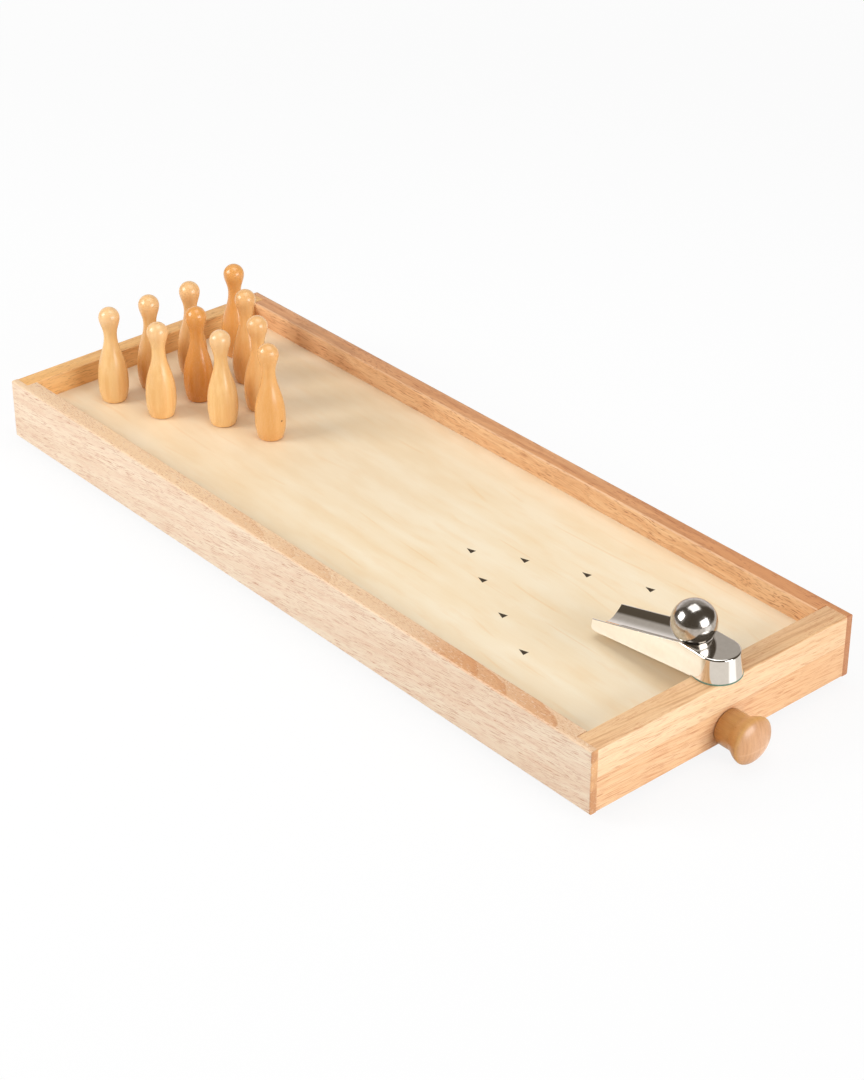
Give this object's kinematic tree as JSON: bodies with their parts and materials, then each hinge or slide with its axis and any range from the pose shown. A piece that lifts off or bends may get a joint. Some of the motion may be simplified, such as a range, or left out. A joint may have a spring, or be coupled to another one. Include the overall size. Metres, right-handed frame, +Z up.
{
  "type": "table bowling game",
  "caption": "Wooden tabletop bowling lane with turned pins, a steel ball, a chromed launching ramp and a knob that stands the pins up by strings.",
  "frame": {"origin": "on the table, under the middle of the whole game", "axes": "+X to the player's right, +Y down the lane from the player to the pins, +Z up"},
  "size_m": [0.2, 0.5638, 0.0961],
  "materials": {
    "left_rail_wood": "clear matt varnish on rubberwood, glued from two strips",
    "right_rail_wood": "clear matt varnish on rubberwood",
    "front_rail_wood": "clear matt varnish on rubberwood, glued from two strips",
    "back_rail_wood": "clear matt varnish on rubberwood",
    "lane_plywood": "clear satin varnish on pale plywood",
    "arrow_ink": "matt black ink",
    "panel_plywood": "bare thin plywood",
    "screw_steel": "zinc plated",
    "foot_rubber": "matt black rubber",
    "knob_wood": "turned, clear satin varnish",
    "dowel_wood": "bare dowel",
    "bar_wood": "bare, planed",
    "ramp_chrome": "polished chrome plate on cast metal",
    "ramp_felt": "green wool felt",
    "ball_steel": "polished steel",
    "pin_wood": "turned, clear gloss varnish",
    "string_cotton": "twisted cotton"
  },
  "bodies": {
    "case": {"left_rail": "left_rail_wood", "right_rail": "right_rail_wood", "front_rail": "front_rail_wood", "back_rail": "back_rail_wood", "lane": "lane_plywood", "lane_arrows": "arrow_ink", "bottom_panel": "panel_plywood", "panel_screws": "screw_steel", "foot_front_left": "foot_rubber", "foot_front_right": "foot_rubber", "foot_back_left": "foot_rubber", "foot_back_right": "foot_rubber", "string_01": "string_cotton", "string_02": "string_cotton", "string_03": "string_cotton", "string_04": "string_cotton", "string_05": "string_cotton", "string_06": "string_cotton", "string_07": "string_cotton", "string_08": "string_cotton", "string_09": "string_cotton", "string_10": "string_cotton"},
    "puller": {"knob": "knob_wood", "pull_rod": "dowel_wood", "pull_bar": "bar_wood"},
    "ramp": {"ramp_body": "ramp_chrome", "ramp_felt": "ramp_felt"},
    "ball": {"ball": "ball_steel"},
    "pin_01": {"pin_01": "pin_wood"},
    "pin_02": {"pin_02": "pin_wood"},
    "pin_03": {"pin_03": "pin_wood"},
    "pin_04": {"pin_04": "pin_wood"},
    "pin_05": {"pin_05": "pin_wood"},
    "pin_06": {"pin_06": "pin_wood"},
    "pin_07": {"pin_07": "pin_wood"},
    "pin_08": {"pin_08": "pin_wood"},
    "pin_09": {"pin_09": "pin_wood"},
    "pin_10": {"pin_10": "pin_wood"}
  },
  "joints": [
    {"name": "knob_pull", "type": "slide", "parent": "case", "child": "puller", "axis": [0, -1, 0], "range_m": [0, 0.0197]},
    {"name": "ramp_turn", "type": "hinge", "parent": "case", "child": "ramp", "pos_m": [0.002, -0.2481, 0.0461], "axis": [0, 0, 1], "range_deg": [-12, 12]},
    {"name": "ball_roll", "type": "slide", "parent": "ramp", "child": "ball", "axis": [0, 0.9668, -0.2554], "range_m": [0, 0.09]},
    {"name": "pin_01_topple", "type": "hinge", "parent": "case", "child": "pin_01", "pos_m": [-0.0488, 0.25125, 0.031], "axis": [-1, 0, 0], "range_deg": [0, 55]},
    {"name": "pin_02_topple", "type": "hinge", "parent": "case", "child": "pin_02", "pos_m": [-0.0193, 0.24925, 0.031], "axis": [-1, 0, 0], "range_deg": [0, 58]},
    {"name": "pin_03_topple", "type": "hinge", "parent": "case", "child": "pin_03", "pos_m": [0.0122, 0.24805, 0.031], "axis": [-1, 0, 0], "range_deg": [0, 60]},
    {"name": "pin_04_topple", "type": "hinge", "parent": "case", "child": "pin_04", "pos_m": [0.0498, 0.25005, 0.031], "axis": [-1, 0, 0], "range_deg": [0, 57]},
    {"name": "pin_05_topple", "type": "hinge", "parent": "case", "child": "pin_05", "pos_m": [-0.04815, 0.2037, 0.031], "axis": [0, -1, 0], "range_deg": [0, 77.5]},
    {"name": "pin_06_topple", "type": "hinge", "parent": "case", "child": "pin_06", "pos_m": [0.00207, 0.20026, 0.031], "axis": [0.5361, 0.8442, 0], "range_deg": [0, 90]},
    {"name": "pin_07_topple", "type": "hinge", "parent": "case", "child": "pin_07", "pos_m": [0.04245, 0.2047, 0.031], "axis": [0, 1, 0], "range_deg": [0, 78.5]},
    {"name": "pin_08_topple", "type": "hinge", "parent": "case", "child": "pin_08", "pos_m": [-0.02099, 0.16078, 0.031], "axis": [0.8, -0.6, 0], "range_deg": [0, 90]},
    {"name": "pin_09_topple", "type": "hinge", "parent": "case", "child": "pin_09", "pos_m": [0.02109, 0.16138, 0.031], "axis": [0.8, 0.6, 0], "range_deg": [0, 90]},
    {"name": "pin_10_topple", "type": "hinge", "parent": "case", "child": "pin_10", "pos_m": [-0.0033, 0.12455, 0.031], "axis": [1, 0, 0], "range_deg": [0, 90]}
  ]
}
